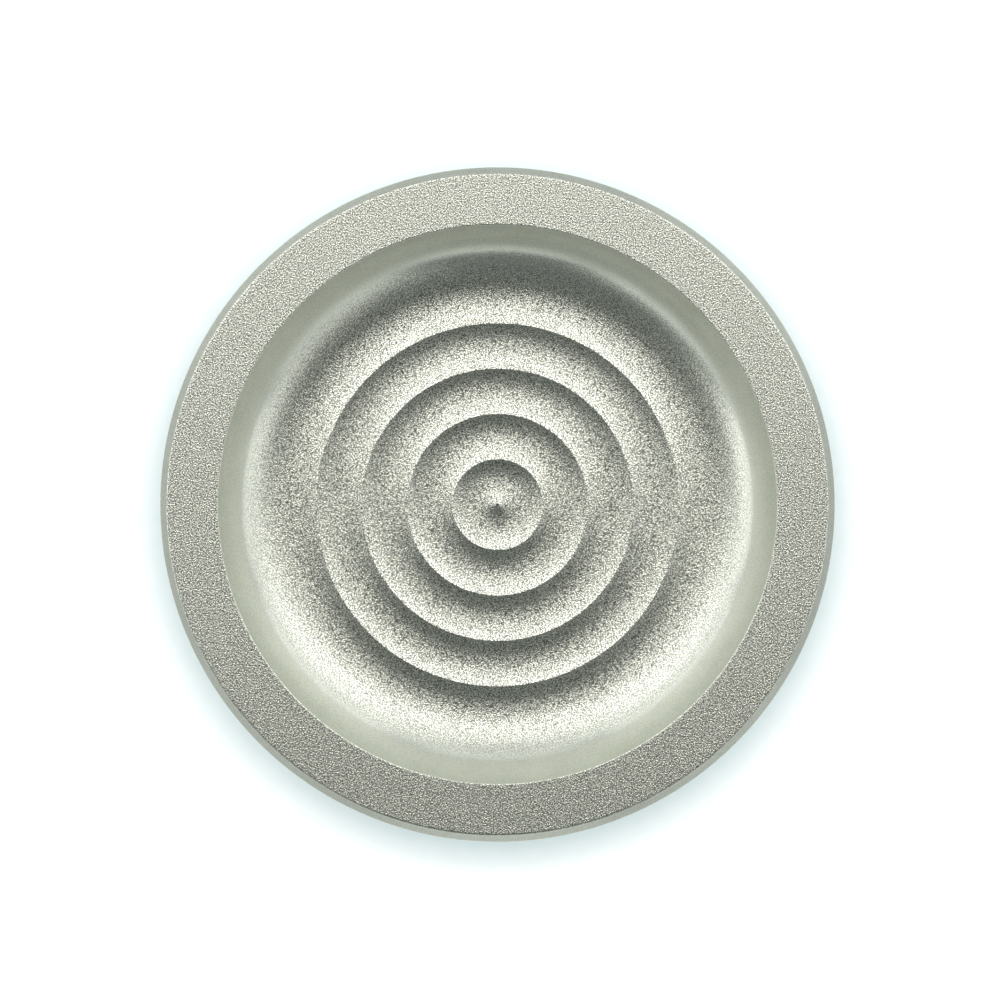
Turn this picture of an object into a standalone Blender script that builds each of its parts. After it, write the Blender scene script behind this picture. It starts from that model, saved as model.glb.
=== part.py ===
"""A metal yo-yo, built the way it comes apart on a bench.

Two identical turned halves clamp a shielded ball bearing between them on a threaded
axle, and each half holds a ring of silicone that the string grips. The face of each
half is a flat rim round a shallow cup with concentric ripples and a central peak.

Frame: the origin is the middle of the string gap, +Z runs along the axle, and the
yo-yo lies on the lower half's rim.

Run it with: blender --background --python part.py
"""

import math

import bmesh
import bpy

MM = 0.001  # one millimetre, in metres

# Each half, driving dimensions
RIM_RADIUS = 28.0 * MM
HALF_WIDTH = 15.2 * MM  # from the middle of the string gap to the flat rim
RIM_CHAMFER = 0.65 * MM
CUP_RADIUS = 23.14 * MM
RIPPLE_COUNT = 4
RIPPLE_PITCH = 3.81 * MM
CUTTER_RADIUS = 6.2 * MM  # one round-nosed tool cuts the ripples and the cup's wall
FLANK_ANGLE = math.radians(31.0)  # of the outer side, from the plane of the disc
SHOULDER_RADIUS = 1.2 * MM
STRING_GAP = 4.4 * MM

# Inner ends of the halves
POST_RADIUS = 3.15 * MM
POST_GAP = 0.2 * MM  # between the two posts' ends
SEAT_RADIUS = 4.3 * MM
POCKET_RADIUS = 6.75 * MM
POCKET_RELIEF = 0.25 * MM  # how far the pocket's floor lies behind the seat
PAD_GROOVE_INNER = 7.2 * MM
PAD_GROOVE_OUTER = 9.6 * MM
PAD_GROOVE_DEPTH = 1.0 * MM
RESPONSE_WALL_RADIUS = 10.4 * MM
AXLE_HOLE_RADIUS = 2.05 * MM
AXLE_HOLE_END = 7.6 * MM
DRILL_POINT_LENGTH = 0.6 * MM

# Axle: a headless set screw
AXLE_RADIUS = 1.95 * MM
AXLE_LENGTH = 13.0 * MM
AXLE_CHAMFER = 0.35 * MM
SOCKET_ACROSS_FLATS = 2.0 * MM
SOCKET_DEPTH = 2.2 * MM

# Bearing: 6.35 mm bore, 12.7 mm outside, 4.76 mm wide, ten 1/16 inch balls
BEARING_BORE_RADIUS = 3.175 * MM
BEARING_OUTER_RADIUS = 6.35 * MM
BEARING_WIDTH = 4.7625 * MM
BEARING_CORNER = 0.2 * MM
SEAT_GAP = 0.02 * MM
BALL_COUNT = 10
BALL_RADIUS = 0.79375 * MM
BALL_CIRCLE_RADIUS = 4.7625 * MM
RACE_RADIUS = 0.834 * MM
INNER_LAND_RADIUS = 4.2 * MM
OUTER_LAND_RADIUS = 5.33 * MM
SHIELD_RECESS_RADIUS = 5.75 * MM
SHIELD_RECESS_DEPTH = 0.52 * MM
SHIELD_INNER_RADIUS = 4.32 * MM
SHIELD_OUTER_RADIUS = 5.7 * MM
SHIELD_THICKNESS = 0.16 * MM
SHIELD_GAP = 0.04 * MM
SNAP_WIRE_RADIUS = 0.13 * MM
SNAP_RING_RADIUS = 5.57 * MM
SNAP_RING_OPENING = math.radians(40.0)
CAGE_INNER_RADIUS = 4.42 * MM
CAGE_OUTER_RADIUS = 5.1 * MM
CAGE_OPEN_SIDE = 0.35 * MM
CAGE_CLOSED_SIDE = -1.25 * MM
CAGE_POCKET_RADIUS = 0.86 * MM

# Silicone rings
PAD_GAP = 0.08 * MM

# Fineness of the solids
HALF_SEGMENTS = 48
BEARING_SEGMENTS = 40
AXLE_SEGMENTS = 32
RIPPLE_STEPS = 4
WALL_STEPS = 7
SHOULDER_STEPS = 3
RACE_STEPS = 6
BALL_SEGMENTS = 12
BALL_RINGS = 8
POCKET_SEGMENTS = 12
SNAP_RING_STEPS = 28
MERGE_DISTANCE = 0.001 * MM
SHARP_ANGLE = math.radians(25.0)

HALF_TURN = (math.pi, 0.0, 0.0)


def clear_scene():
    for obj in list(bpy.data.objects):
        bpy.data.objects.remove(obj)


def make_material(name, colour, metallic, roughness):
    material = bpy.data.materials.new(name)
    material.use_nodes = True
    shader = material.node_tree.nodes["Principled BSDF"]
    shader.inputs["Base Color"].default_value = (*colour, 1.0)
    shader.inputs["Metallic"].default_value = metallic
    shader.inputs["Roughness"].default_value = roughness
    return material


def link(obj, material=None, parent=None):
    bpy.context.scene.collection.objects.link(obj)
    obj.parent = parent
    if material:
        obj.data.materials.append(material)
    return obj


def pivot(name, parent=None, location=(0.0, 0.0, 0.0)):
    """An empty on a joint's axis, which carries what moves with that joint."""
    empty = bpy.data.objects.new(name, None)
    empty.location = location
    return link(empty, parent=parent)


def apply_modifiers(obj):
    depsgraph = bpy.context.evaluated_depsgraph_get()
    mesh = bpy.data.meshes.new_from_object(obj.evaluated_get(depsgraph))
    mesh.name = obj.name
    obj.modifiers.clear()
    obj.data = mesh


def shade_round(obj):
    obj.data.shade_smooth()
    obj.data.set_sharp_from_angle(angle=SHARP_ANGLE)


def turned(name, outline, segments, material, parent, closed=True):
    """Turns an outline of (radius, height) points, which runs down its outer side, about Z."""
    points = [(radius, 0.0, height) for radius, height in outline]
    edges = [(i, i + 1) for i in range(len(points) - 1)]
    if closed:
        edges.append((len(points) - 1, 0))
    mesh = bpy.data.meshes.new(name)
    mesh.from_pydata(points, edges, [])
    obj = link(bpy.data.objects.new(name, mesh), material, parent)
    screw = obj.modifiers.new("Turn", "SCREW")
    screw.axis = "Z"
    screw.angle = math.tau
    screw.steps = segments
    screw.render_steps = segments
    screw.use_merge_vertices = True
    screw.merge_threshold = MERGE_DISTANCE
    apply_modifiers(obj)
    shade_round(obj)
    return obj


def flipped_copy(name, original, parent):
    """The same piece again on the other side of the string gap."""
    copy = bpy.data.objects.new(name, original.data)
    copy.rotation_euler = HALF_TURN
    return link(copy, parent=parent)


def arc(centre, radius, start, end, steps):
    """Points of an arc from start to end, angles counted from straight down towards +radius."""
    points = []
    for i in range(steps + 1):
        angle = start + (end - start) * i / steps
        points.append((centre[0] + radius * math.sin(angle), centre[1] - radius * math.cos(angle)))
    return points


def cup_outline():
    """From the central peak over the ripples and up the wall to the flat rim."""
    ripple_angle = math.asin(RIPPLE_PITCH / 2 / CUTTER_RADIUS)
    wall_centre = RIPPLE_PITCH * (RIPPLE_COUNT + 0.5)
    wall_angle = math.asin((CUP_RADIUS - wall_centre) / CUTTER_RADIUS)
    cutter_height = HALF_WIDTH + CUTTER_RADIUS * math.cos(wall_angle)
    points = []
    for ripple in range(RIPPLE_COUNT):
        centre = (RIPPLE_PITCH * (ripple + 0.5), cutter_height)
        points += arc(centre, CUTTER_RADIUS, -ripple_angle, ripple_angle, RIPPLE_STEPS)[:-1]
    points += arc((wall_centre, cutter_height), CUTTER_RADIUS, -ripple_angle, wall_angle, WALL_STEPS)
    points[0] = (0.0, points[0][1])
    return points


def flank_outline():
    """From the rim's chamfer down the outer side to the response wall."""
    wall_height = STRING_GAP / 2
    shoulder_centre = RIM_RADIUS - SHOULDER_RADIUS
    shoulder_height = (
        wall_height
        + (shoulder_centre - RESPONSE_WALL_RADIUS) * math.tan(FLANK_ANGLE)
        + SHOULDER_RADIUS / math.cos(FLANK_ANGLE)
    )
    points = [
        (RIM_RADIUS - RIM_CHAMFER, HALF_WIDTH),
        (RIM_RADIUS, HALF_WIDTH - RIM_CHAMFER),
    ]
    points += arc(
        (shoulder_centre, shoulder_height), SHOULDER_RADIUS, math.pi / 2, FLANK_ANGLE, SHOULDER_STEPS
    )
    points.append((RESPONSE_WALL_RADIUS, wall_height))
    return points


def hub_outline():
    """From the response wall over the pad groove, pocket, seat and post into the axle hole."""
    wall = STRING_GAP / 2
    groove_floor = wall + PAD_GROOVE_DEPTH
    seat = BEARING_WIDTH / 2 + SEAT_GAP
    pocket_floor = seat + POCKET_RELIEF
    post_end = POST_GAP / 2
    return [
        (PAD_GROOVE_OUTER, wall),
        (PAD_GROOVE_OUTER, groove_floor),
        (PAD_GROOVE_INNER, groove_floor),
        (PAD_GROOVE_INNER, wall),
        (POCKET_RADIUS, wall),
        (POCKET_RADIUS, pocket_floor),
        (SEAT_RADIUS, pocket_floor),
        (SEAT_RADIUS, seat),
        (POST_RADIUS, seat),
        (POST_RADIUS, post_end),
        (AXLE_HOLE_RADIUS, post_end),
        (AXLE_HOLE_RADIUS, AXLE_HOLE_END),
        (0.0, AXLE_HOLE_END + DRILL_POINT_LENGTH),
    ]


def make_halves(material, lower_parent, upper_parent):
    outline = cup_outline() + flank_outline() + hub_outline()
    upper = turned("upper_half", outline, HALF_SEGMENTS, material, upper_parent, closed=False)
    flipped_copy("lower_half", upper, lower_parent)


def make_pads(material, lower_parent, upper_parent):
    low = STRING_GAP / 2 + PAD_GAP
    high = STRING_GAP / 2 + PAD_GROOVE_DEPTH - PAD_GAP
    inner = PAD_GROOVE_INNER + PAD_GAP
    outer = PAD_GROOVE_OUTER - PAD_GAP
    outline = [(inner, high), (outer, high), (outer, low), (inner, low)]
    pad = turned("response_pad_upper", outline, BEARING_SEGMENTS, material, upper_parent)
    flipped_copy("response_pad_lower", pad, lower_parent)


def make_cutter(name, fill, parent):
    """A hidden mesh that a Boolean subtracts. fill adds its shape to an empty bmesh."""
    shape = bmesh.new()
    fill(shape)
    mesh = bpy.data.meshes.new(name)
    shape.to_mesh(mesh)
    shape.free()
    cutter = link(bpy.data.objects.new(name, mesh), parent=parent)
    cutter.hide_render = True
    cutter.display_type = "WIRE"
    return cutter


def cut(obj, cutter):
    boolean = obj.modifiers.new("Cut", "BOOLEAN")
    boolean.operation = "DIFFERENCE"
    boolean.solver = "EXACT"
    boolean.object = cutter
    bpy.context.view_layer.update()
    apply_modifiers(obj)
    shade_round(obj)


def make_axle(material, parent):
    end = AXLE_LENGTH / 2
    outline = [
        (0.0, end),
        (AXLE_RADIUS - AXLE_CHAMFER, end),
        (AXLE_RADIUS, end - AXLE_CHAMFER),
        (AXLE_RADIUS, AXLE_CHAMFER - end),
        (AXLE_RADIUS - AXLE_CHAMFER, -end),
        (0.0, -end),
    ]
    axle = turned("axle", outline, AXLE_SEGMENTS, material, parent, closed=False)

    def hexagon(shape):
        corner = SOCKET_ACROSS_FLATS / math.sqrt(3.0)
        bmesh.ops.create_cone(
            shape, cap_ends=True, segments=6, radius1=corner, radius2=corner, depth=2 * SOCKET_DEPTH
        )
        bmesh.ops.translate(shape, verts=shape.verts, vec=(0.0, 0.0, end))

    cut(axle, make_cutter("axle_socket_cutter", hexagon, parent))


def race_arc(land_radius, side):
    """A ball groove's section from its top edge to its bottom. side is 1 in the outer ring, -1 in the inner."""
    reach = abs(land_radius - BALL_CIRCLE_RADIUS)
    half_angle = math.acos(reach / RACE_RADIUS)
    points = []
    for i in range(RACE_STEPS + 1):
        angle = half_angle * (1.0 - 2.0 * i / RACE_STEPS)
        radius = BALL_CIRCLE_RADIUS + side * RACE_RADIUS * math.cos(angle)
        points.append((radius, RACE_RADIUS * math.sin(angle)))
    return points


def make_inner_ring(material, parent):
    end = BEARING_WIDTH / 2
    outline = [(BEARING_BORE_RADIUS, end), (INNER_LAND_RADIUS, end)]
    outline += race_arc(INNER_LAND_RADIUS, -1)
    outline += [(INNER_LAND_RADIUS, -end), (BEARING_BORE_RADIUS, -end)]
    turned("bearing_inner_ring", outline, BEARING_SEGMENTS, material, parent)


def make_outer_ring(material, parent):
    end = BEARING_WIDTH / 2
    ledge = end - SHIELD_RECESS_DEPTH
    groove_up = list(reversed(race_arc(OUTER_LAND_RADIUS, 1)))
    outline = [
        (BEARING_OUTER_RADIUS - BEARING_CORNER, end),
        (BEARING_OUTER_RADIUS, end - BEARING_CORNER),
        (BEARING_OUTER_RADIUS, BEARING_CORNER - end),
        (BEARING_OUTER_RADIUS - BEARING_CORNER, -end),
        (SHIELD_RECESS_RADIUS, -end),
        (SHIELD_RECESS_RADIUS, -ledge),
        (OUTER_LAND_RADIUS, -ledge),
        *groove_up,
        (OUTER_LAND_RADIUS, ledge),
        (SHIELD_RECESS_RADIUS, ledge),
        (SHIELD_RECESS_RADIUS, end),
    ]
    turned("bearing_outer_ring", outline, BEARING_SEGMENTS, material, parent)


def make_shields(material, parent):
    low = BEARING_WIDTH / 2 - SHIELD_RECESS_DEPTH + SHIELD_GAP
    high = low + SHIELD_THICKNESS
    outline = [
        (SHIELD_INNER_RADIUS, high),
        (SHIELD_OUTER_RADIUS, high),
        (SHIELD_OUTER_RADIUS, low),
        (SHIELD_INNER_RADIUS, low),
    ]
    shield = turned("shield_upper", outline, BEARING_SEGMENTS, material, parent)
    flipped_copy("shield_lower", shield, parent)


def make_snap_rings(material, parent):
    """The open wire rings that hold the shields in the outer ring."""
    height = BEARING_WIDTH / 2 - SNAP_WIRE_RADIUS
    curve = bpy.data.curves.new("snap_ring_upper", "CURVE")
    curve.dimensions = "3D"
    curve.bevel_depth = SNAP_WIRE_RADIUS
    curve.bevel_resolution = 1
    curve.use_fill_caps = True
    spline = curve.splines.new("POLY")
    spline.points.add(SNAP_RING_STEPS)
    for i, point in enumerate(spline.points):
        angle = SNAP_RING_OPENING / 2 + (math.tau - SNAP_RING_OPENING) * i / SNAP_RING_STEPS
        x = SNAP_RING_RADIUS * math.cos(angle)
        y = SNAP_RING_RADIUS * math.sin(angle)
        point.co = (x, y, height, 1.0)
    ring = link(bpy.data.objects.new("snap_ring_upper", curve), material, parent)
    flipped_copy("snap_ring_lower", ring, parent)


def ball_position(index):
    angle = math.tau * index / BALL_COUNT
    return (BALL_CIRCLE_RADIUS * math.cos(angle), BALL_CIRCLE_RADIUS * math.sin(angle), 0.0)


def make_cage(material, parent):
    """A crown cage: a ring below the balls whose pockets snap over them."""
    outline = [
        (CAGE_INNER_RADIUS, CAGE_OPEN_SIDE),
        (CAGE_OUTER_RADIUS, CAGE_OPEN_SIDE),
        (CAGE_OUTER_RADIUS, CAGE_CLOSED_SIDE),
        (CAGE_INNER_RADIUS, CAGE_CLOSED_SIDE),
    ]
    cage = turned("ball_cage", outline, BEARING_SEGMENTS, material, parent)

    def pockets(shape):
        for index in range(BALL_COUNT):
            made = bmesh.ops.create_uvsphere(
                shape, u_segments=POCKET_SEGMENTS, v_segments=BALL_RINGS, radius=CAGE_POCKET_RADIUS
            )
            bmesh.ops.translate(shape, verts=made["verts"], vec=ball_position(index))

    cut(cage, make_cutter("cage_pocket_cutter", pockets, parent))


def make_balls(material, cage_pivot):
    shape = bmesh.new()
    bmesh.ops.create_uvsphere(
        shape, u_segments=BALL_SEGMENTS, v_segments=BALL_RINGS, radius=BALL_RADIUS
    )
    mesh = bpy.data.meshes.new("ball")
    shape.to_mesh(mesh)
    shape.free()
    mesh.shade_smooth()
    mesh.materials.append(material)
    for index in range(BALL_COUNT):
        ball = bpy.data.objects.new(f"ball_{index + 1:02d}", mesh)
        ball.location = ball_position(index)
        link(ball, parent=cage_pivot)


def main():
    clear_scene()
    aluminium = make_material("blasted_aluminium", (0.62, 0.61, 0.56), 1.0, 0.45)
    steel = make_material("bearing_steel", (0.62, 0.62, 0.63), 1.0, 0.25)
    dark_steel = make_material("blackened_steel", (0.09, 0.09, 0.10), 1.0, 0.45)
    polished = make_material("polished_steel", (0.75, 0.75, 0.76), 1.0, 0.08)
    brass = make_material("pressed_brass", (0.72, 0.52, 0.24), 1.0, 0.35)
    silicone = make_material("white_silicone", (0.85, 0.85, 0.82), 0.0, 0.6)

    lower_pivot = pivot("lower_half_carrier")
    bearing_pivot = pivot("bearing_core_carrier", lower_pivot)
    upper_pivot = pivot("upper_half_carrier", bearing_pivot)
    spin_pivot = pivot("outer_ring_carrier", bearing_pivot)
    cage_pivot = pivot("cage_carrier", bearing_pivot)

    make_halves(aluminium, lower_pivot, upper_pivot)
    make_pads(silicone, lower_pivot, upper_pivot)
    make_axle(dark_steel, lower_pivot)
    make_inner_ring(steel, bearing_pivot)
    make_outer_ring(steel, spin_pivot)
    make_shields(steel, spin_pivot)
    make_snap_rings(steel, spin_pivot)
    make_cage(brass, cage_pivot)
    make_balls(polished, cage_pivot)


main()
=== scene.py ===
"""The looks of the metal yo-yo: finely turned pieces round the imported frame.

Lengths are in metres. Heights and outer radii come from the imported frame, and the details
below are in millimetres times MM.
"""

import math

import bmesh
import bpy
import numpy as np
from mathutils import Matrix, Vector


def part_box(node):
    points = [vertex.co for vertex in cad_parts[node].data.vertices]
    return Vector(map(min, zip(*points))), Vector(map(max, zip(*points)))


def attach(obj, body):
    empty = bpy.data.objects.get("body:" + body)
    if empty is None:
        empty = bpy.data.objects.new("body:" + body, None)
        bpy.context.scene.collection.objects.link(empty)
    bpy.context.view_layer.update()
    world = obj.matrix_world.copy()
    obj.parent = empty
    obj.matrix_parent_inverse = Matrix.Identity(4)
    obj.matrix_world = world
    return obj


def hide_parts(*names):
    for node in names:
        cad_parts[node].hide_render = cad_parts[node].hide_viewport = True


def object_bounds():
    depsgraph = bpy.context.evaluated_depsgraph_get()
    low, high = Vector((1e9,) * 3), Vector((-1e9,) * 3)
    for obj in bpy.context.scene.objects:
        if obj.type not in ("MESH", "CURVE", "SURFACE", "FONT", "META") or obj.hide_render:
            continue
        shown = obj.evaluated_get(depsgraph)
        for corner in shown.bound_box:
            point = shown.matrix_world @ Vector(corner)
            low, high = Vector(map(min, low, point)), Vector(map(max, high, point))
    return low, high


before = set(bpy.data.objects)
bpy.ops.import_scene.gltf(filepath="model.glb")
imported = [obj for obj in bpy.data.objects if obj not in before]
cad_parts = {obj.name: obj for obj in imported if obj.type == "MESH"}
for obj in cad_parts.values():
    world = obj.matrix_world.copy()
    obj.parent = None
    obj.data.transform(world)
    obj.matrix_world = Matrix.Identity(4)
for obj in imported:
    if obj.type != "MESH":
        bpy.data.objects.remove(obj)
cad_low, cad_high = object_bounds()

MM = 0.001

# The face of a half
RIM_CHAMFER = 0.65 * MM
CUP_RADIUS = 23.14 * MM
RIPPLE_COUNT = 4
RIPPLE_PITCH = 3.81 * MM
CUTTER_RADIUS = 6.2 * MM
PIP_RADIUS = 0.11 * MM
PIP_DEPTH = 1.0 * MM
EDGE_ROUNDING = 0.10 * MM
CREST_ROUNDING = 0.03 * MM
ROUNDING_SHARE = 0.4  # the most of a neighbouring straight part that a rounding takes
HOLD_REACH = 1.3  # where a long part's extra point lies, in lengths of the rounding
LONG_PART = 3.0  # from this many roundings on, a straight part counts as long

# The flank and hub of a half
FLANK_ANGLE = math.radians(31.0)
SHOULDER_RADIUS = 1.2 * MM
RESPONSE_WALL_RADIUS = 10.4 * MM
PAD_GROOVE_OUTER = 9.6 * MM
PAD_GROOVE_INNER = 7.2 * MM
PAD_GROOVE_DEPTH = 1.0 * MM
PAD_RECESS = 0.08 * MM  # how far a silicone ring lies back from the response wall
PAD_GAP = 0.08 * MM  # between a silicone ring and its groove's inner wall
PAD_LIP = 0.5 * MM
PAD_DISH = 0.08 * MM
PAD_ROUNDING = 0.15 * MM
POCKET_RADIUS = 6.75 * MM
POCKET_RELIEF = 0.25 * MM
SEAT_RADIUS = 4.3 * MM
SEAT_GAP = 0.02 * MM
POST_RADIUS = 3.15 * MM
HOLE_RADIUS = 2.05 * MM
HOLE_END = 7.6 * MM
DRILL_POINT_LENGTH = 0.6 * MM
THREAD_PITCH = 0.7 * MM
THREAD_DEPTH = 0.38 * MM
THREAD_LEAD = 0.3 * MM  # plain stretch at a hole's mouth
SAME_RADIUS = 1e-7  # radii closer than this are the same
MACHINED_RADIUS = 7.0 * MM  # inside this the blasting is masked off and the turned finish shows

# Bearing
BALL_COUNT = 10
RACE_RADIUS = 0.834 * MM
BORE_GAP = 0.025 * MM
INNER_LAND_RADIUS = 4.2 * MM
OUTER_LAND_RADIUS = 5.33 * MM
SHIELD_RECESS_RADIUS = 5.75 * MM
SHIELD_RECESS_DEPTH = 0.52 * MM
RING_CORNER = 0.2 * MM
INNER_RING_ROUNDING = 0.06 * MM
OUTER_RING_ROUNDING = 0.04 * MM
SHIELD_GAP = 0.12 * MM  # between a shield and the inner ring
SHIELD_BEAD = 0.05 * MM
SHIELD_BEAD_WIDTH = 0.16  # in widths of the shield
SHIELD_ROUNDING = 0.02 * MM
SNAP_RING_OPENING = math.radians(40.0)
CAGE_INNER_RADIUS = 4.42 * MM
CAGE_POCKET_RADIUS = 0.86 * MM
CAGE_ROUNDING = 0.08 * MM

# Axle
SOCKET_ACROSS_FLATS = 2.0 * MM
SOCKET_DEPTH = 2.2 * MM
AXLE_CHAMFER = 0.35 * MM

# Finish
GLINT_SIZE = 0.095 * MM

# The bodies that an upper and a lower piece ride on
HALF_BODIES = ("upper_side", "lower_side")
SHELL_BODIES = ("bearing_shell", "bearing_shell")

# Fineness
HALF_SEGMENTS = 256
RING_SEGMENTS = 128
AXLE_SEGMENTS = 64
RIPPLE_STEPS = 14
WALL_STEPS = 36
ROUNDING_STEPS = 5
SHOULDER_STEPS = 10
SHIELD_STEPS = 12
THREAD_STEPS = 6  # rows in one turn of thread
SHARP_ANGLE = math.radians(28.0)
CORNER_ANGLE = math.radians(160.0)  # a flatter one is a step of an arc and stays as it is


# ---------------------------------------------------------------- outlines

def arc(centre, radius, start, end, steps):
    """Points of an arc from start to end, angles counted from straight down towards +radius."""
    angles = np.linspace(start, end, steps + 1)
    return [(centre[0] + radius * math.sin(a), centre[1] - radius * math.cos(a)) for a in angles]


def rounded(outline, radius, steps=3):
    """Rounds the inner corners of an open outline with short curves of about that radius.

    A long straight part gets one more point beside each curve, so that it is shaded flat.
    """
    points = [outline[0]]
    for before, corner, after in zip(outline, outline[1:], outline[2:]):
        here = Vector(corner)
        back = Vector(before) - here
        ahead = Vector(after) - here
        if back.angle(ahead) > CORNER_ANGLE:
            points.append(corner)
            continue
        reach = min(radius, back.length * ROUNDING_SHARE, ahead.length * ROUNDING_SHARE)
        start = here + back.normalized() * reach
        end = here + ahead.normalized() * reach
        if back.length > LONG_PART * radius:
            points.append(tuple(here + back.normalized() * reach * HOLD_REACH))
        for i in range(steps + 1):
            t = i / steps
            points.append(tuple((1 - t) ** 2 * start + 2 * t * (1 - t) * here + t ** 2 * end))
        if ahead.length > LONG_PART * radius:
            points.append(tuple(here + ahead.normalized() * reach * HOLD_REACH))
    points.append(outline[-1])
    return points


def closed_rounded(outline, radius, steps=3):
    """The same for a closed outline: each corner is rounded, the first one too."""
    looped = [outline[-1], *outline, outline[0]]
    return rounded(looped, radius, steps)[1:-1]


# ---------------------------------------------------------------- meshes

def piece_from(name, mesh, material, body, slot, *nodes):
    """A finished piece that stands for those CAD nodes."""
    obj = bpy.data.objects.new(name, mesh)
    bpy.context.scene.collection.objects.link(obj)
    if not mesh.materials:
        mesh.materials.append(material)
    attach(obj, body)
    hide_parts(*nodes)
    return obj


def pieces_from(upper_node, finish, mesh, material, bodies, slot):
    """The mesh as the upper piece, and a flipped copy of it as the lower one."""
    lower_node = upper_node.replace("upper", "lower")
    upper_name = f"{upper_node}_{finish}"
    lower_name = f"{lower_node}_{finish}"
    lower_mesh = flip_over(mesh, lower_name)
    upper_body, lower_body = bodies
    upper = piece_from(upper_name, mesh, material, upper_body, slot, upper_node)
    lower = piece_from(lower_name, lower_mesh, material, lower_body, slot, lower_node)
    return upper, lower


def revolve(name, outline, segments, closed, reshape=None):
    """Turns an outline of (radius, height) points about Z. reshape changes the grid of radii.

    An open outline starts and ends on the axis, and each end is one point there.
    """
    outline = np.array(outline, float)
    angles = np.arange(segments) * math.tau / segments
    radii = np.repeat(outline[:, 0][None, :], segments, axis=0)
    heights = np.repeat(outline[:, 1][None, :], segments, axis=0)
    if reshape:
        radii = reshape(radii, heights, angles[:, None])
    x = radii * np.cos(angles)[:, None]
    y = radii * np.sin(angles)[:, None]
    rows = len(outline)
    vertices = np.stack([x, y, heights], axis=2).reshape(-1, 3)
    index = np.arange(segments * rows).reshape(segments, rows)
    turned = np.roll(index, -1, axis=0)
    first, last = (0, rows) if closed else (1, rows - 2)
    faces = []
    for row in range(first, last):
        below = (row + 1) % rows
        faces += zip(index[:, row], index[:, below], turned[:, below], turned[:, row])
    if not closed:
        faces += zip(index[:, 1], turned[:, 1], [0] * segments)
        bottom = rows - 1
        faces += zip(index[:, rows - 2], [bottom] * segments, turned[:, rows - 2])
    mesh = bpy.data.meshes.new(name)
    mesh.from_pydata(vertices.tolist(), [], [tuple(int(i) for i in face) for face in faces])
    tidy_mesh(mesh)
    return mesh


def tidy_mesh(mesh):
    """Drops loose points, faces every polygon outwards and shades round parts smooth."""
    shape = bmesh.new()
    shape.from_mesh(mesh)
    bmesh.ops.delete(shape, geom=[v for v in shape.verts if not v.link_faces], context="VERTS")
    bmesh.ops.recalc_face_normals(shape, faces=shape.faces)
    shape.to_mesh(mesh)
    shape.free()
    mesh.shade_smooth()
    mesh.set_sharp_from_angle(angle=SHARP_ANGLE)


def flip_over(mesh, name):
    """A copy of a mesh turned half a turn about X, for the other side of the string gap."""
    copy = mesh.copy()
    copy.name = name
    points = np.empty(len(copy.vertices) * 3)
    copy.vertices.foreach_get("co", points)
    points = points.reshape(-1, 3) * (1.0, -1.0, -1.0)
    copy.vertices.foreach_set("co", points.ravel())
    copy.update()
    return copy


def cut_away(mesh, cutter_mesh):
    """The mesh less the cutter, by an exact Boolean."""
    obj = bpy.data.objects.new("cut_target", mesh)
    cutter = bpy.data.objects.new("cut_tool", cutter_mesh)
    for item in (obj, cutter):
        bpy.context.scene.collection.objects.link(item)
    boolean = obj.modifiers.new("Cut", "BOOLEAN")
    boolean.operation = "DIFFERENCE"
    boolean.solver = "EXACT"
    boolean.object = cutter
    depsgraph = bpy.context.evaluated_depsgraph_get()
    result = bpy.data.meshes.new_from_object(obj.evaluated_get(depsgraph))
    for item in (obj, cutter):
        bpy.data.objects.remove(item)
    tidy_mesh(result)
    return result


# ---------------------------------------------------------------- materials

def grey(value):
    return (value, value, value)


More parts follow.
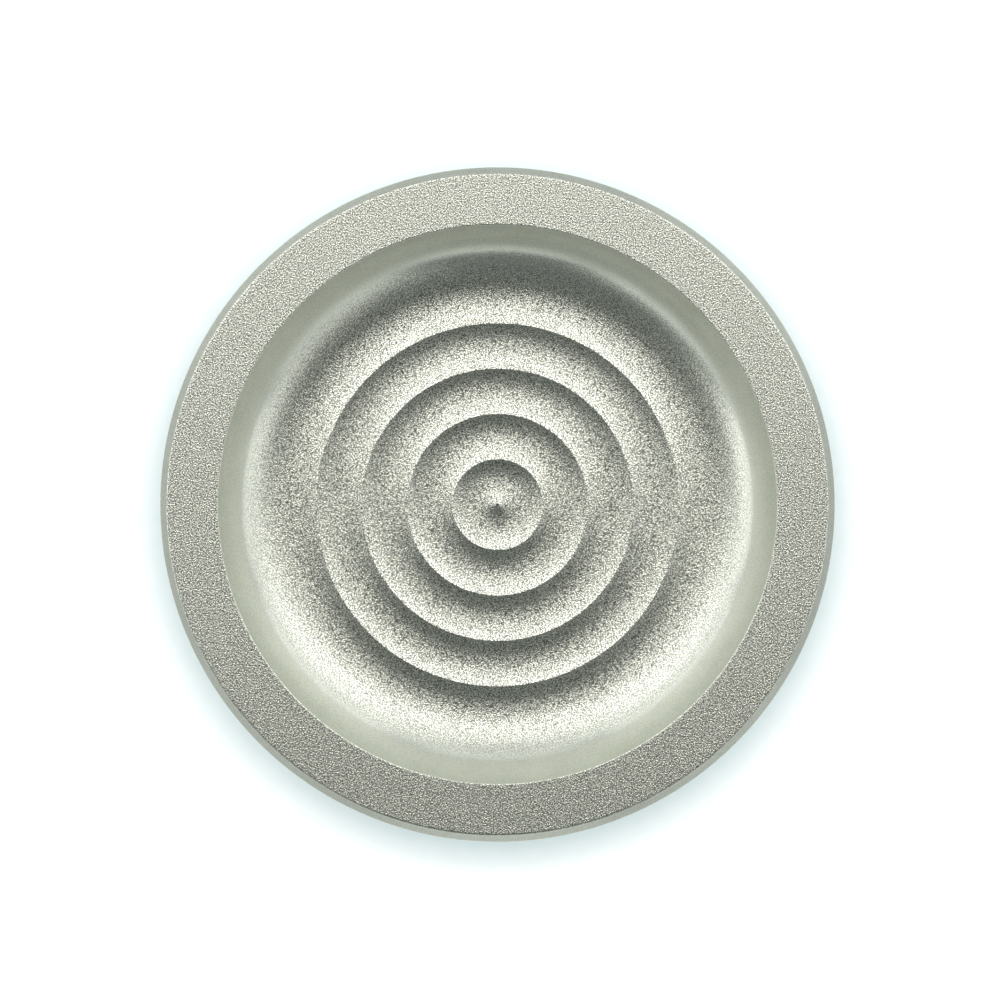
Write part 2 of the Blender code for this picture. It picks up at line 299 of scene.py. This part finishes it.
class Nodes:
    """A small helper that adds and joins shader nodes."""

    def __init__(self, name):
        self.material = bpy.data.materials.new(name)
        self.material.use_nodes = True
        self.tree = self.material.node_tree
        self.shader = self.tree.nodes["Principled BSDF"]

    def add(self, kind, settings=(), **inputs):
        node = self.tree.nodes.new(kind)
        for key, value in dict(settings).items():
            setattr(node, key, value)
        for key, value in inputs.items():
            self.feed(node, key.replace("_", " "), value)
        return node

    def feed(self, node, key, value):
        """Gives an input, known by its name or its number, a link or a fixed value."""
        if isinstance(value, bpy.types.NodeSocket):
            self.tree.links.new(value, node.inputs[key])
        else:
            node.inputs[key].default_value = value

    def place(self):
        return self.add("ShaderNodeTexCoord").outputs["Object"]

    def noise(self, vector, size, detail=2.0, roughness=0.5):
        node = self.add(
            "ShaderNodeTexNoise", Vector=vector, Scale=1.0 / size, Detail=detail, Roughness=roughness
        )
        return node.outputs["Fac"]

    def ramp(self, value, *stops):
        """A colour ramp of (position, colour) stops."""
        node = self.add("ShaderNodeValToRGB", Fac=value)
        elements = node.color_ramp.elements
        while len(elements) < len(stops):
            elements.new(0.5)
        for element, (position, colour) in zip(elements, stops):
            element.position = position
            element.color = (*colour, 1.0)
        return node.outputs["Color"]

    def math(self, operation, first, second):
        node = self.add("ShaderNodeMath", {"operation": operation})
        self.feed(node, 0, first)
        self.feed(node, 1, second)
        return node.outputs[0]

    def scaled(self, value, factor, offset):
        return self.math("ADD", self.math("MULTIPLY", value, factor), offset)

    def outwards(self, place, normal):
        """How far the surface faces away from the Z axis: 1 on the upright side of the rim."""
        radial = self.add("ShaderNodeVectorMath", {"operation": "MULTIPLY"})
        self.feed(radial, 0, place)
        self.feed(radial, 1, (1.0, 1.0, 0.0))
        share = self.add("ShaderNodeVectorMath", {"operation": "DOT_PRODUCT"})
        self.feed(share, 0, radial.outputs["Vector"])
        self.feed(share, 1, normal)
        return self.math("DIVIDE", share.outputs["Value"], cad_high.x)

    def mix(self, share, first, second):
        """Two colours mixed. They are this node's inputs 6 and 7, and its colour output is 2."""
        node = self.add("ShaderNodeMix", {"data_type": "RGBA"})
        self.feed(node, 0, share)
        self.feed(node, 6, first)
        self.feed(node, 7, second)
        return node.outputs[2]

    def bump(self, height, distance, strength):
        node = self.add("ShaderNodeBump", Height=height, Distance=distance, Strength=strength)
        return node.outputs["Normal"]

    def surface(self, **inputs):
        for key, value in inputs.items():
            self.feed(self.shader, key.replace("_", " "), value)
        return self.material


def blasted_aluminium():
    """Bead-blasted aluminium: painted glints, bright and dark specks a tenth of a millimetre across
    in the base colour.

    The beads only graze steep surfaces, so the gloss goes dull there, apart from the outside of
    the rim, which faces the jet. On steep surfaces the painted glints fade into an even, lighter
    colour. struck is 1 where the jet hits squarely.
    """
    n = Nodes("blasted_aluminium")
    coordinates = n.add("ShaderNodeTexCoord")
    place = coordinates.outputs["Object"]
    facing = n.add("ShaderNodeSeparateXYZ", Vector=coordinates.outputs["Normal"]).outputs["Z"]
    outwards = n.outwards(place, coordinates.outputs["Normal"])
    rim_side = n.ramp(outwards, (0.75, grey(0.0)), (0.95, grey(0.82)))
    struck = n.math("MAXIMUM", n.math("ABSOLUTE", facing, 0.0), rim_side)
    level = n.ramp(struck, (0.75, grey(0.18)), (0.99, grey(1.0)))
    # painted glints: a fine noise that lights and darkens the base colour in specks
    painted_glint = n.noise(place, GLINT_SIZE, detail=1.0)
    patches = n.noise(place, 3.0 * MM, detail=3.0)
    even = n.ramp(patches, (0.3, (0.76, 0.79, 0.70)), (0.7, (0.82, 0.85, 0.76)))
    painted_glints = n.ramp(painted_glint, (0.39, (0.17, 0.17, 0.15)), (0.60, (1.0, 1.0, 0.88)))
    # level mixes the painted glints in where the surface faces up or out, and an even colour elsewhere
    colour = n.mix(level, even, painted_glints)
    roughness = n.ramp(struck, (0.50, grey(0.70)), (0.78, grey(0.20)), (1.0, grey(0.26)))
    craters = n.add("ShaderNodeTexVoronoi", Vector=place, Scale=1 / GLINT_SIZE)
    normal = n.bump(craters.outputs["Distance"], 0.018 * MM, level)
    return n.surface(Base_Color=colour, Metallic=1.0, Roughness=roughness, Normal=normal)


def machined_aluminium():
    """Turned aluminium with fine feed lines round the axle."""
    n = Nodes("machined_aluminium")
    place = n.place()
    lines = n.add(
        "ShaderNodeTexWave",
        {"wave_type": "RINGS", "rings_direction": "Z"},
        Vector=place, Scale=1 / (0.5 * MM), Distortion=0.4, Detail=2.0,
    ).outputs["Fac"]
    grain = n.noise(place, 0.15 * MM)
    colour = n.ramp(lines, (0.0, (0.66, 0.66, 0.65)), (1.0, (0.82, 0.82, 0.81)))
    roughness = n.scaled(grain, 0.1, 0.16)
    return n.surface(
        Base_Color=colour, Metallic=1.0, Roughness=roughness, Normal=n.bump(lines, 0.01 * MM, 0.4)
    )


def ground_steel():
    """Fine ground bearing steel, with faint lines along the turning direction."""
    n = Nodes("ground_steel")
    place = n.place()
    lines = n.add(
        "ShaderNodeTexWave",
        {"wave_type": "BANDS", "bands_direction": "Z"},
        Vector=place, Scale=1 / (0.3 * MM), Distortion=1.0, Detail=3.0,
    ).outputs["Fac"]
    smudges = n.noise(place, 0.8 * MM)
    colour = n.ramp(smudges, (0.3, (0.50, 0.50, 0.51)), (0.7, (0.58, 0.58, 0.59)))
    roughness = n.scaled(smudges, 0.08, 0.14)
    return n.surface(
        Base_Color=colour, Metallic=1.0, Roughness=roughness, Normal=n.bump(lines, 0.004 * MM, 0.3)
    )


def pressed_steel():
    """Thin pressed sheet and spring wire, duller than the ground rings."""
    n = Nodes("pressed_steel")
    place = n.place()
    grain = n.noise(place, 0.4 * MM, detail=4.0)
    colour = n.ramp(grain, (0.3, (0.42, 0.42, 0.43)), (0.7, (0.60, 0.60, 0.61)))
    roughness = n.scaled(grain, 0.2, 0.22)
    return n.surface(
        Base_Color=colour, Metallic=1.0, Roughness=roughness, Normal=n.bump(grain, 0.01 * MM, 0.2)
    )


def polished_steel():
    """The balls: near mirrors with a faint haze."""
    n = Nodes("polished_steel")
    haze = n.noise(n.place(), 0.5 * MM)
    colour = n.ramp(haze, (0.3, (0.74, 0.74, 0.75)), (0.7, (0.82, 0.82, 0.83)))
    return n.surface(Base_Color=colour, Metallic=1.0, Roughness=n.math("MULTIPLY", haze, 0.12))


def blackened_steel():
    """Black oxide on the axle, with bare metal worn through in specks."""
    n = Nodes("blackened_steel")
    place = n.place()
    wear = n.noise(place, 0.6 * MM, detail=6.0, roughness=0.7)
    colour = n.ramp(wear, (0.55, (0.035, 0.035, 0.04)), (0.72, (0.30, 0.29, 0.28)))
    roughness = n.scaled(wear, 0.3, 0.25)
    return n.surface(
        Base_Color=colour, Metallic=0.9, Roughness=roughness, Normal=n.bump(wear, 0.01 * MM, 0.3)
    )


def cage_brass():
    """Turned brass with a blotchy tarnish."""
    n = Nodes("cage_brass")
    place = n.place()
    tarnish = n.noise(place, 0.9 * MM, detail=5.0)
    colour = n.ramp(tarnish, (0.3, (0.52, 0.34, 0.12)), (0.7, (0.80, 0.60, 0.28)))
    roughness = n.scaled(tarnish, 0.3, 0.2)
    return n.surface(
        Base_Color=colour, Metallic=1.0, Roughness=roughness, Normal=n.bump(tarnish, 0.01 * MM, 0.3)
    )


def silicone():
    """Matt white silicone with a fine moulded grain."""
    n = Nodes("silicone")
    place = n.place()
    grain = n.noise(place, 0.12 * MM, detail=3.0)
    stain = n.noise(place, 2.5 * MM, detail=3.0)
    colour = n.ramp(stain, (0.35, (0.80, 0.80, 0.76)), (0.65, (0.90, 0.90, 0.87)))
    return n.surface(
        Base_Color=colour,
        Roughness=n.scaled(grain, 0.2, 0.5),
        Subsurface_Weight=0.15,
        Subsurface_Radius=(0.6 * MM, 0.5 * MM, 0.4 * MM),
        Normal=n.bump(grain, 0.02 * MM, 0.4),
    )


def floor_paper():
    """White paper with painted light on it.

    Its emission is a painted glow round the yo-yo, with a painted cyan shadow under and just
    beside it, and it fades outwards.
    """
    n = Nodes("floor_paper")
    place = n.place()
    fibres = n.noise(place, 1.2 * MM, detail=4.0)
    colour = n.ramp(fibres, (0.3, (0.46, 0.48, 0.48)), (0.7, (0.50, 0.52, 0.52)))
    axes = n.add("ShaderNodeSeparateXYZ", Vector=place)
    flat = n.add("ShaderNodeCombineXYZ", X=axes.outputs["X"], Y=axes.outputs["Y"])
    radius = n.add("ShaderNodeVectorMath", {"operation": "LENGTH"})
    n.feed(radius, 0, flat.outputs["Vector"])
    reach = n.math("DIVIDE", radius.outputs["Value"], PAINTED_GLOW_REACH)
    rim = cad_high.x / PAINTED_GLOW_REACH
    # painted shadow: the emission dims to a cyan grey under and just round the yo-yo
    painted_shadow = (0.40, 0.48, 0.49)
    bright = (0.93, 0.95, 0.95)
    # painted glow and shadow: emission by distance from the axis, dim near the yo-yo, bright beyond,
    # faint far out
    painted_glow_and_shadow = n.ramp(
        reach,
        (rim * 1.09, painted_shadow),
        (rim * 1.24, bright),
        (0.5, bright),
        (1.0, grey(0.05)),
    )
    return n.surface(
        Base_Color=colour,
        Roughness=0.9,
        Specular_IOR_Level=0.1,
        Emission_Color=painted_glow_and_shadow,
        Emission_Strength=1.0,
    )


# ---------------------------------------------------------------- the halves

def cup_outline(face_height):
    """From the pip on the central peak over the ripples and up the wall to the flat rim."""
    ripple_angle = math.asin(RIPPLE_PITCH / 2 / CUTTER_RADIUS)
    wall_centre = RIPPLE_PITCH * (RIPPLE_COUNT + 0.5)
    wall_angle = math.asin((CUP_RADIUS - wall_centre) / CUTTER_RADIUS)
    cutter_height = face_height + CUTTER_RADIUS * math.cos(wall_angle)
    points = []
    for ripple in range(RIPPLE_COUNT):
        centre = (RIPPLE_PITCH * (ripple + 0.5), cutter_height)
        points += arc(centre, CUTTER_RADIUS, -ripple_angle, ripple_angle, RIPPLE_STEPS)[:-1]
    points += arc((wall_centre, cutter_height), CUTTER_RADIUS, -ripple_angle, wall_angle, WALL_STEPS)
    peak = points[0][1]
    pip = [(0.0, peak - PIP_DEPTH), (PIP_RADIUS, peak - PIP_DEPTH), (PIP_RADIUS, peak)]
    return pip + [point for point in points if point[0] > 2 * PIP_RADIUS]


def flank_outline(rim_radius, face_height, wall_height):
    """From the flat rim over its chamfer and the shoulder down the flank to the response wall."""
    shoulder_centre = rim_radius - SHOULDER_RADIUS
    shoulder_height = (
        wall_height
        + (shoulder_centre - RESPONSE_WALL_RADIUS) * math.tan(FLANK_ANGLE)
        + SHOULDER_RADIUS / math.cos(FLANK_ANGLE)
    )
    points = [(rim_radius - RIM_CHAMFER, face_height), (rim_radius, face_height - RIM_CHAMFER)]
    points += arc(
        (shoulder_centre, shoulder_height), SHOULDER_RADIUS, math.pi / 2, FLANK_ANGLE, SHOULDER_STEPS
    )
    points.append((RESPONSE_WALL_RADIUS, wall_height))
    return points


def hub_outline(wall, seat, post_end):
    """From the response wall over the pad groove, pocket, seat and post to the hole's mouth."""
    groove_floor = wall + PAD_GROOVE_DEPTH
    pocket_floor = seat + POCKET_RELIEF
    return [
        (PAD_GROOVE_OUTER, wall),
        (PAD_GROOVE_OUTER, groove_floor),
        (PAD_GROOVE_INNER, groove_floor),
        (PAD_GROOVE_INNER, wall),
        (POCKET_RADIUS, wall),
        (POCKET_RADIUS, pocket_floor),
        (SEAT_RADIUS, pocket_floor),
        (SEAT_RADIUS, seat),
        (POST_RADIUS, seat),
        (POST_RADIUS, post_end),
        (HOLE_RADIUS, post_end),
    ]


def thread(radii, heights, angles, inside, low, high):
    """A V-shaped thread: a triangle wave along a helix, faded out at both of its ends."""
    turns = heights / THREAD_PITCH - angles / math.tau
    wave = np.abs((turns % 1.0) * 2.0 - 1.0)
    fade = np.clip(np.minimum(heights - low, high - heights) / (0.5 * THREAD_PITCH), 0.0, 1.0)
    depth = THREAD_DEPTH * wave * fade
    return np.where(inside, radii - depth, radii)


def make_halves():
    low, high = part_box("upper_half")
    rim_radius = high.x
    face_height = high.z
    post_end = low.z
    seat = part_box("bearing_inner_ring")[1].z + SEAT_GAP
    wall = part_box("response_pad_upper")[0].z - PAD_RECESS

    outline = rounded(cup_outline(face_height), CREST_ROUNDING)
    edges = outline[-2:]
    edges += flank_outline(rim_radius, face_height, wall)
    edges += hub_outline(wall, seat, post_end)
    outline[-2:] = rounded(edges, EDGE_ROUNDING, ROUNDING_STEPS)
    rows = int((HOLE_END - post_end) / THREAD_PITCH * THREAD_STEPS)
    outline += [(HOLE_RADIUS, z) for z in np.linspace(post_end, HOLE_END, rows + 1)[1:]]
    outline.append((0.0, HOLE_END + DRILL_POINT_LENGTH))

    def cut_thread(radii, heights, angles):
        inside = (np.abs(radii - HOLE_RADIUS) < SAME_RADIUS) & (heights > post_end)
        return thread(radii, heights, angles, inside, post_end + THREAD_LEAD, HOLE_END)

    mesh = revolve("upper_half_turned", outline, HALF_SEGMENTS, closed=False, reshape=cut_thread)
    blasted = blasted_aluminium()
    mesh.materials.append(blasted)
    mesh.materials.append(machined_aluminium())
    # The middle of the cup has the hub's radii too, but lies above the hole's end.
    for polygon in mesh.polygons:
        x, y, z = polygon.center
        hub = math.hypot(x, y) < MACHINED_RADIUS and z < HOLE_END + DRILL_POINT_LENGTH
        polygon.material_index = 1 if hub else 0
    pieces_from("upper_half", "turned", mesh, blasted, HALF_BODIES, "blasted_aluminium")


# ---------------------------------------------------------------- axle and pads

def make_axle():
    low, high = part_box("axle")
    radius = high.x
    rows = int((high.z - low.z) / THREAD_PITCH * THREAD_STEPS)
    outline = [(0.0, high.z), (radius - AXLE_CHAMFER, high.z)]
    outline += [(radius, z) for z in np.linspace(high.z - AXLE_CHAMFER, low.z + AXLE_CHAMFER, rows)]
    outline += [(radius - AXLE_CHAMFER, low.z), (0.0, low.z)]

    def cut_thread(radii, heights, angles):
        inside = np.abs(radii - radius) < SAME_RADIUS
        return thread(radii, heights, angles, inside, low.z + AXLE_CHAMFER, high.z - AXLE_CHAMFER)

    mesh = revolve("axle_threaded", outline, AXLE_SEGMENTS, closed=False, reshape=cut_thread)
    shape = bmesh.new()
    corner = SOCKET_ACROSS_FLATS / math.sqrt(3.0)
    bmesh.ops.create_cone(
        shape, cap_ends=True, segments=6, radius1=corner, radius2=corner, depth=2 * SOCKET_DEPTH
    )
    bmesh.ops.translate(shape, verts=shape.verts, vec=(0.0, 0.0, high.z))
    cutter = bpy.data.meshes.new("axle_socket")
    shape.to_mesh(cutter)
    shape.free()
    mesh = cut_away(mesh, cutter)
    piece_from("axle_threaded", mesh, blackened_steel(), "lower_side", "blackened_steel", "axle")


def make_pads():
    """Silicone rings with soft edges and a shallow dish where the string wears them."""
    low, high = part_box("response_pad_upper")
    inner = PAD_GROOVE_INNER + PAD_GAP
    outer = high.x
    middle = (inner + outer) / 2
    outline = [
        (inner, high.z),
        (outer, high.z),
        (outer, low.z),
        (outer - PAD_LIP, low.z),
        (middle, low.z + PAD_DISH),
        (inner + PAD_LIP, low.z),
        (inner, low.z),
    ]
    outline = closed_rounded(outline, PAD_ROUNDING, steps=4)
    mesh = revolve("response_pad_upper_soft", outline, RING_SEGMENTS, closed=True)
    pads = pieces_from("response_pad_upper", "soft", mesh, silicone(), HALF_BODIES, "silicone")


# ---------------------------------------------------------------- bearing

def race_arc(land_radius, ball_circle, side, steps=16):
    """A ball groove's section from its top edge down. side is 1 in the outer ring, -1 in the inner."""
    half_angle = math.acos(abs(land_radius - ball_circle) / RACE_RADIUS)
    angles = np.linspace(half_angle, -half_angle, steps + 1)
    return [(ball_circle + side * RACE_RADIUS * math.cos(a), RACE_RADIUS * math.sin(a)) for a in angles]


def ball_circle_radius():
    low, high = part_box("ball_01")
    return (low.x + high.x) / 2


def make_rings(steel):
    circle = ball_circle_radius()
    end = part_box("bearing_inner_ring")[1].z
    bore = POST_RADIUS + BORE_GAP
    inner = [(bore, end), (INNER_LAND_RADIUS, end)]
    inner += race_arc(INNER_LAND_RADIUS, circle, -1)
    inner += [(INNER_LAND_RADIUS, -end), (bore, -end)]
    inner = closed_rounded(inner, INNER_RING_ROUNDING)
    mesh = revolve("inner_ring_ground", inner, RING_SEGMENTS, closed=True)
    piece_from("inner_ring_ground", mesh, steel, "bearing_core", "bearing_steel", "bearing_inner_ring")

    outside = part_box("bearing_outer_ring")[1].x
    ledge = end - SHIELD_RECESS_DEPTH
    outer = [
        (outside - RING_CORNER, end),
        (outside, end - RING_CORNER),
        (outside, RING_CORNER - end),
        (outside - RING_CORNER, -end),
        (SHIELD_RECESS_RADIUS, -end),
        (SHIELD_RECESS_RADIUS, -ledge),
        (OUTER_LAND_RADIUS, -ledge),
    ]
    outer += list(reversed(race_arc(OUTER_LAND_RADIUS, circle, 1)))
    outer += [(OUTER_LAND_RADIUS, ledge), (SHIELD_RECESS_RADIUS, ledge), (SHIELD_RECESS_RADIUS, end)]
    outer = closed_rounded(outer, OUTER_RING_ROUNDING)
    mesh = revolve("outer_ring_ground", outer, RING_SEGMENTS, closed=True)
    piece_from("outer_ring_ground", mesh, steel, "bearing_shell", "bearing_steel", "bearing_outer_ring")


def make_shields(steel):
    """Pressed discs with a raised bead halfway across."""
    low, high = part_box("shield_upper")
    inner = INNER_LAND_RADIUS + SHIELD_GAP
    outer = high.x
    thickness = high.z - low.z
    across = np.linspace(0.0, 1.0, SHIELD_STEPS + 1)
    rise = [SHIELD_BEAD * math.exp(-(((t - 0.5) / SHIELD_BEAD_WIDTH) ** 2)) for t in across]
    top = [(inner + t * (outer - inner), high.z - SHIELD_BEAD + r) for t, r in zip(across, rise)]
    below = [(r, z - thickness + SHIELD_BEAD) for r, z in reversed(top)]
    outline = closed_rounded(top + below, SHIELD_ROUNDING, steps=2)
    mesh = revolve("shield_upper_pressed", outline, RING_SEGMENTS, closed=True)
    pieces_from("shield_upper", "pressed", mesh, steel, SHELL_BODIES, "bearing_steel")


def wire_ring(name, wire, radius, height, opening, steps=96, sides=12):
    """An open ring of round wire, tapered to half its thickness at both ends."""
    sweep = np.linspace(opening / 2, math.tau - opening / 2, steps + 1)
    stations = [(angle, 1.0) for angle in sweep]
    taper = 0.8 * wire / radius
    stations = [(sweep[0] - taper, 0.5)] + stations + [(sweep[-1] + taper, 0.5)]
    vertices = []
    for angle, share in stations:
        for k in range(sides):
            turn = math.tau * k / sides
            r = radius + wire * share * math.cos(turn)
            z = height + wire * share * math.sin(turn)
            vertices.append((r * math.cos(angle), r * math.sin(angle), z))
    faces = []
    for i in range(len(stations) - 1):
        for k in range(sides):
            a = i * sides + k
            b = i * sides + (k + 1) % sides
            faces.append((a, b, b + sides, a + sides))
    faces.append(tuple(range(sides)))
    faces.append(tuple(range(len(vertices) - sides, len(vertices))))
    mesh = bpy.data.meshes.new(name)
    mesh.from_pydata(vertices, [], faces)
    tidy_mesh(mesh)
    return mesh


def make_snap_rings(steel):
    low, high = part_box("snap_ring_upper")
    wire = (high.z - low.z) / 2
    radius = high.y - wire
    mesh = wire_ring("snap_ring_upper_wire", wire, radius, low.z + wire, SNAP_RING_OPENING)
    pieces_from("snap_ring_upper", "wire", mesh, steel, SHELL_BODIES, "bearing_steel")


def ball_place(index):
    low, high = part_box(f"ball_{index + 1:02d}")
    return (low + high) / 2


def make_cage():
    low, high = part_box("ball_cage")
    inner = CAGE_INNER_RADIUS
    outline = [(inner, high.z), (high.x, high.z), (high.x, low.z), (inner, low.z)]
    outline = closed_rounded(outline, CAGE_ROUNDING)
    mesh = revolve("ball_cage_crown", outline, RING_SEGMENTS, closed=True)
    shape = bmesh.new()
    for index in range(BALL_COUNT):
        made = bmesh.ops.create_uvsphere(shape, u_segments=32, v_segments=16, radius=CAGE_POCKET_RADIUS)
        bmesh.ops.translate(shape, verts=made["verts"], vec=ball_place(index))
    cutter = bpy.data.meshes.new("cage_pockets")
    shape.to_mesh(cutter)
    shape.free()
    mesh = cut_away(mesh, cutter)
    piece_from("ball_cage_crown", mesh, cage_brass(), "cage", "cage_brass", "ball_cage")


def make_balls():
    low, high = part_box("ball_01")
    radius = (high.z - low.z) / 2
    material = polished_steel()
    for index in range(BALL_COUNT):
        shape = bmesh.new()
        bmesh.ops.create_uvsphere(shape, u_segments=32, v_segments=20, radius=radius)
        bmesh.ops.translate(shape, verts=shape.verts, vec=ball_place(index))
        name = f"ball_{index + 1:02d}"
        mesh = bpy.data.meshes.new(f"{name}_polished")
        shape.to_mesh(mesh)
        shape.free()
        mesh.shade_smooth()
        piece_from(f"{name}_polished", mesh, material, f"rolling_{name}", "ball_steel", name)


# ---------------------------------------------------------------- stage, light and camera

VIEW_DISTANCE = 300.0 * MM  # from the lens to the upper rim
VIEW_WIDTH = 82.75 * MM  # what the picture takes in at the upper rim
VIEW_SHIFT = (0.207 * MM, 0.331 * MM)  # of the camera, to the right and up
VIEW_TILT = math.radians(0.8)
LIGHT_DISTANCE = 0.8
FLOOR_HALF_WIDTH = 1.5

# Panels of a light tent. Direction 90 is the top of the picture and 270 its bottom.
# name: (degrees from overhead, direction in degrees from +X, degrees wide, degrees tall, radiance)
LIGHTS = {
    "roof_panel": (24.0, 90.0, 80.0, 38.0, 1.45),
    "back_panel": (64.0, 90.0, 40.0, 40.0, 0.65),
    "back_left_panel": (65.0, 136.0, 44.0, 42.0, 0.9),
    "back_right_panel": (65.0, 44.0, 44.0, 42.0, 0.9),
    "left_panel": (64.0, 182.0, 40.0, 36.0, 1.0),
    "right_panel": (62.0, -2.0, 40.0, 40.0, 0.8),
    "front_left_panel": (78.0, 226.0, 40.0, 24.0, 0.5),
    "front_right_panel": (70.0, 314.0, 40.0, 42.0, 0.45),
    "front_panel": (84.0, 270.0, 40.0, 12.0, 0.9),
}
WORLD_LIGHT = 0.19
WORLD_COLOUR = (0.90, 1.0, 0.98, 1.0)
PAINTED_GLOW_REACH = 120.0 * MM  # how far from the axis the painted glow on the floor reaches


def make_floor():
    half = FLOOR_HALF_WIDTH
    height = cad_low.z
    mesh = bpy.data.meshes.new("floor")
    corners = [
        (-half, -half, height),
        (half, -half, height),
        (half, half, height),
        (-half, half, height),
    ]
    mesh.from_pydata(corners, [], [(0, 1, 2, 3)])
    mesh.materials.append(floor_paper())
    floor = bpy.data.objects.new("floor", mesh)
    bpy.context.scene.collection.objects.link(floor)


def make_lights():
    for name, (lean, direction, wide, tall, radiance) in LIGHTS.items():
        lean = math.radians(lean)
        direction = math.radians(direction)
        toward = Vector(
            (math.sin(lean) * math.cos(direction), math.sin(lean) * math.sin(direction), math.cos(lean))
        )
        light = bpy.data.lights.new(name, "AREA")
        light.shape = "RECTANGLE"
        light.size = 2.0 * LIGHT_DISTANCE * math.tan(math.radians(wide / 2))
        light.size_y = 2.0 * LIGHT_DISTANCE * math.tan(math.radians(tall / 2))
        light.energy = radiance * math.pi * light.size * light.size_y
        lamp = bpy.data.objects.new(name, light)
        lamp.location = toward * LIGHT_DISTANCE
        lamp.rotation_mode = "QUATERNION"
        lamp.rotation_quaternion = toward.to_track_quat("Z", "Y")
        bpy.context.scene.collection.objects.link(lamp)
    world = bpy.data.worlds.new("studio")
    world.use_nodes = True
    background = world.node_tree.nodes["Background"]
    background.inputs["Color"].default_value = WORLD_COLOUR
    background.inputs["Strength"].default_value = WORLD_LIGHT
    bpy.context.scene.world = world


def make_camera():
    camera = bpy.data.cameras.new("camera")
    camera.sensor_width = 36.0
    camera.lens = camera.sensor_width * VIEW_DISTANCE / VIEW_WIDTH
    camera.clip_start = 0.01
    camera.clip_end = 10.0
    obj = bpy.data.objects.new("camera", camera)
    back = Vector((0.0, -math.sin(VIEW_TILT), math.cos(VIEW_TILT)))
    up = Vector((0.0, math.cos(VIEW_TILT), math.sin(VIEW_TILT)))
    obj.location = (
        Vector((VIEW_SHIFT[0], 0.0, cad_high.z)) + back * VIEW_DISTANCE + up * VIEW_SHIFT[1]
    )
    obj.rotation_euler = (VIEW_TILT, 0.0, 0.0)
    bpy.context.scene.collection.objects.link(obj)
    bpy.context.scene.camera = obj


make_camera()
make_halves()
make_axle()
make_pads()
ground = ground_steel()
pressed = pressed_steel()
make_rings(ground)
make_shields(pressed)
make_snap_rings(pressed)
make_cage()
make_balls()
make_floor()
make_lights()
bpy.context.scene.view_settings.view_transform = "Standard"
